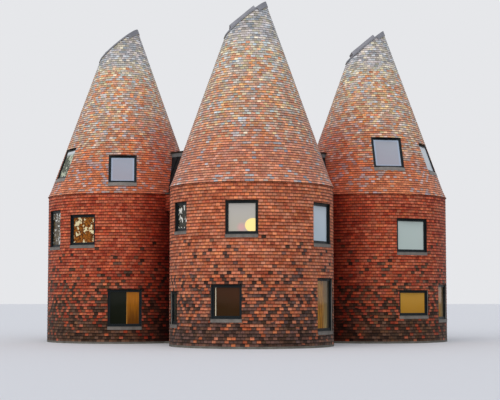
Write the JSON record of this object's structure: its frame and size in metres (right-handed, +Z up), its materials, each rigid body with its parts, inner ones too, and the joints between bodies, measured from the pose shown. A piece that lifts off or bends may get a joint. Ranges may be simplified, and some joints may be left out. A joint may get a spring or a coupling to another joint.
{
  "type": "oast house",
  "caption": "Oast house of round tile-hung towers with tall cone roofs cut at a slope, set in a square round a flat-roofed core, with small windows on every storey.",
  "frame": {"origin": "centre of the base, on the ground under the middle of the core", "axes": "+Z up, -Y towards the front tower, +X towards the right tower"},
  "size_m": [16.7165, 16.7166, 13.1362],
  "materials": {
    "tile_hanging": "matt, weathered",
    "roof_tile": "matt, weathered, lichened",
    "frame_paint": "satin",
    "glass": "clear, reflective",
    "grey_metal": "dull, weathered",
    "dark_cladding": "matt",
    "floor_boards": "matt",
    "ground_concrete": "matt",
    "roof_membrane": "matt"
  },
  "bodies": {
    "root": {"front_wall_left": "tile_hanging", "front_wall_right": "tile_hanging", "front_wall_inner": "tile_hanging", "front_roof": "roof_tile", "front_roof_cap": "grey_metal", "front_floors": "floor_boards", "front_window_frames": "frame_paint", "front_window_glass": "glass", "left_wall_front": "tile_hanging", "left_wall_inner": "tile_hanging", "left_wall_back": "tile_hanging", "left_roof": "roof_tile", "left_roof_cap": "grey_metal", "left_floors": "floor_boards", "left_window_frames": "frame_paint", "left_window_glass": "glass", "right_wall_front": "tile_hanging", "right_wall_back": "tile_hanging", "right_wall_inner": "tile_hanging", "right_roof": "roof_tile", "right_roof_cap": "grey_metal", "right_floors": "floor_boards", "right_window_frames": "frame_paint", "right_window_glass": "glass", "back_wall_left": "tile_hanging", "back_wall_right": "tile_hanging", "back_wall_inner": "tile_hanging", "back_roof": "roof_tile", "back_roof_cap": "grey_metal", "back_floors": "floor_boards", "back_window_frames": "frame_paint", "back_window_glass": "glass", "window_sills": "grey_metal", "roof_light_frames": "frame_paint", "roof_light_glass": "glass", "link_spandrels": "tile_hanging", "link_slopes": "dark_cladding", "link_copings": "grey_metal", "link_screen_frames": "frame_paint", "link_screen_glass": "glass", "core_roof": "roof_membrane", "core_coping": "grey_metal", "ground_slab": "ground_concrete"}
  },
  "joints": []
}
